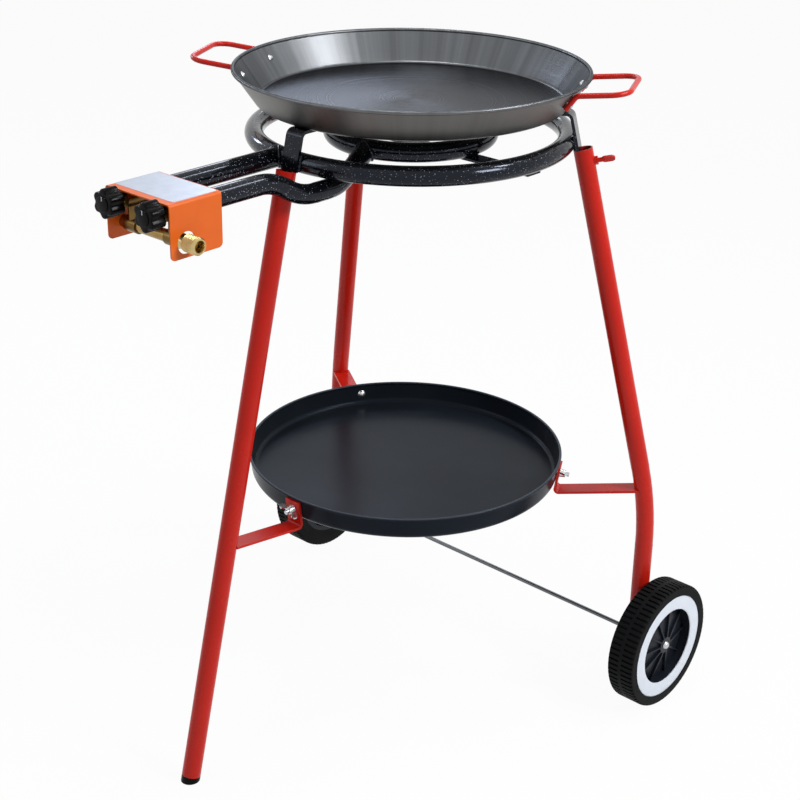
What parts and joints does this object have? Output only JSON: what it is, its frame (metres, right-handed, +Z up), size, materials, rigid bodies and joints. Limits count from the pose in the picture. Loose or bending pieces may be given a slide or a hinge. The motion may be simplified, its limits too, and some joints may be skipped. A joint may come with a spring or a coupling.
{
  "type": "paella burner",
  "caption": "Gas burner of concentric drilled tube rings under a shallow pan, on a splayed tube-leg stand with a lower tray, transport wheels and a covered valve block with knobs.",
  "frame": {"origin": "On the floor, under the middle of the object's bounding box.", "axes": "+Z up; the valves and the plain foot point to -Y; the axle lies along X."},
  "size_m": [0.7056, 0.7376, 0.8865],
  "materials": {
    "speckled_enamel": "gloss black enamel with fine pale specks",
    "orange_paint": "satin powder coat",
    "red_paint": "gloss powder coat",
    "black_paint": "satin black",
    "brass": "machined",
    "black_plastic": "moulded",
    "zinc": "bright zinc plating",
    "tyre_rubber": "moulded rubber",
    "white_plastic": "moulded",
    "polished_steel": "polished"
  },
  "bodies": {
    "stand": {"outer_burner_ring": "speckled_enamel", "inner_burner_ring": "speckled_enamel", "outer_feed_tube": "speckled_enamel", "inner_feed_tube": "speckled_enamel", "cross_strap": "speckled_enamel", "front_pan_support": "speckled_enamel", "right_pan_support": "speckled_enamel", "left_pan_support": "speckled_enamel", "valve_plate": "speckled_enamel", "valve_cover": "orange_paint", "gas_rail": "brass", "gas_inlet": "brass", "rail_screw": "zinc", "outer_valve_body": "brass", "inner_valve_body": "brass", "valve_lock_nuts": "brass", "injectors": "brass", "front_leg": "red_paint", "right_leg": "red_paint", "left_leg": "red_paint", "foot_plug_cap": "black_plastic", "clamp_nuts": "red_paint", "front_tray_bracket": "red_paint", "right_tray_bracket": "red_paint", "left_tray_bracket": "red_paint", "lower_tray": "black_paint", "tray_bolts": "zinc", "axle": "zinc", "axle_washers": "zinc", "axle_caps": "zinc"},
    "outer_knob": {"outer_knob": "black_plastic", "outer_valve_stem": "brass"},
    "inner_knob": {"inner_knob": "black_plastic", "inner_valve_stem": "brass"},
    "right_wheel": {"right_wheel_hub": "black_plastic", "right_tyre": "tyre_rubber", "right_trim_ring": "white_plastic"},
    "left_wheel": {"left_wheel_hub": "black_plastic", "left_tyre": "tyre_rubber", "left_trim_ring": "white_plastic"},
    "pan": {"paella_pan": "polished_steel", "right_pan_handle": "red_paint", "left_pan_handle": "red_paint", "handle_rivets": "zinc"},
    "front_clamp": {"front_clamp_screw": "red_paint"},
    "right_clamp": {"right_clamp_screw": "red_paint"},
    "left_clamp": {"left_clamp_screw": "red_paint"},
    "front_wing": {"front_wing_nut": "zinc"},
    "right_wing": {"right_wing_nut": "zinc"},
    "left_wing": {"left_wing_nut": "zinc"}
  },
  "joints": [
    {"name": "outer_knob_turn", "type": "hinge", "parent": "stand", "child": "outer_knob", "pos_m": [-0.035, -0.355, 0.8], "axis": [0, -1, 0], "range_deg": [0, 270]},
    {"name": "inner_knob_turn", "type": "hinge", "parent": "stand", "child": "inner_knob", "pos_m": [0.035, -0.355, 0.8], "axis": [0, -1, 0], "range_deg": [0, 270]},
    {"name": "right_wheel_spin", "type": "hinge", "parent": "stand", "child": "right_wheel", "pos_m": [0.33234, 0.27783, 0.091], "axis": [1, 0, 0], "continuous": true},
    {"name": "left_wheel_spin", "type": "hinge", "parent": "stand", "child": "left_wheel", "pos_m": [-0.33234, 0.27783, 0.091], "axis": [1, 0, 0], "continuous": true},
    {"name": "pan_lift", "type": "slide", "parent": "stand", "child": "pan", "axis": [0, 0, 1], "range_m": [0, 0.3]},
    {"name": "front_clamp_turn", "type": "hinge", "parent": "stand", "child": "front_clamp", "pos_m": [0, -0.11483, 0.77445], "axis": [0, -0.9724, 0.2334], "range_deg": [0, 360]},
    {"name": "right_clamp_turn", "type": "hinge", "parent": "stand", "child": "right_clamp", "pos_m": [0.19138, 0.21666, 0.77445], "axis": [0.8421, 0.4862, 0.2334], "range_deg": [0, 360]},
    {"name": "left_clamp_turn", "type": "hinge", "parent": "stand", "child": "left_clamp", "pos_m": [-0.19138, 0.21666, 0.77445], "axis": [-0.8421, 0.4862, 0.2334], "range_deg": [0, 360]},
    {"name": "front_wing_turn", "type": "hinge", "parent": "stand", "child": "front_wing", "pos_m": [0, -0.10987, 0.332], "axis": [0, -0.9903, -0.1392], "range_deg": [0, 360]},
    {"name": "right_wing_turn", "type": "hinge", "parent": "stand", "child": "right_wing", "pos_m": [0.18709, 0.21418, 0.332], "axis": [0.8576, 0.4951, -0.1392], "range_deg": [0, 360]},
    {"name": "left_wing_turn", "type": "hinge", "parent": "stand", "child": "left_wing", "pos_m": [-0.18709, 0.21418, 0.332], "axis": [-0.8576, 0.4951, -0.1392], "range_deg": [0, 360]}
  ]
}
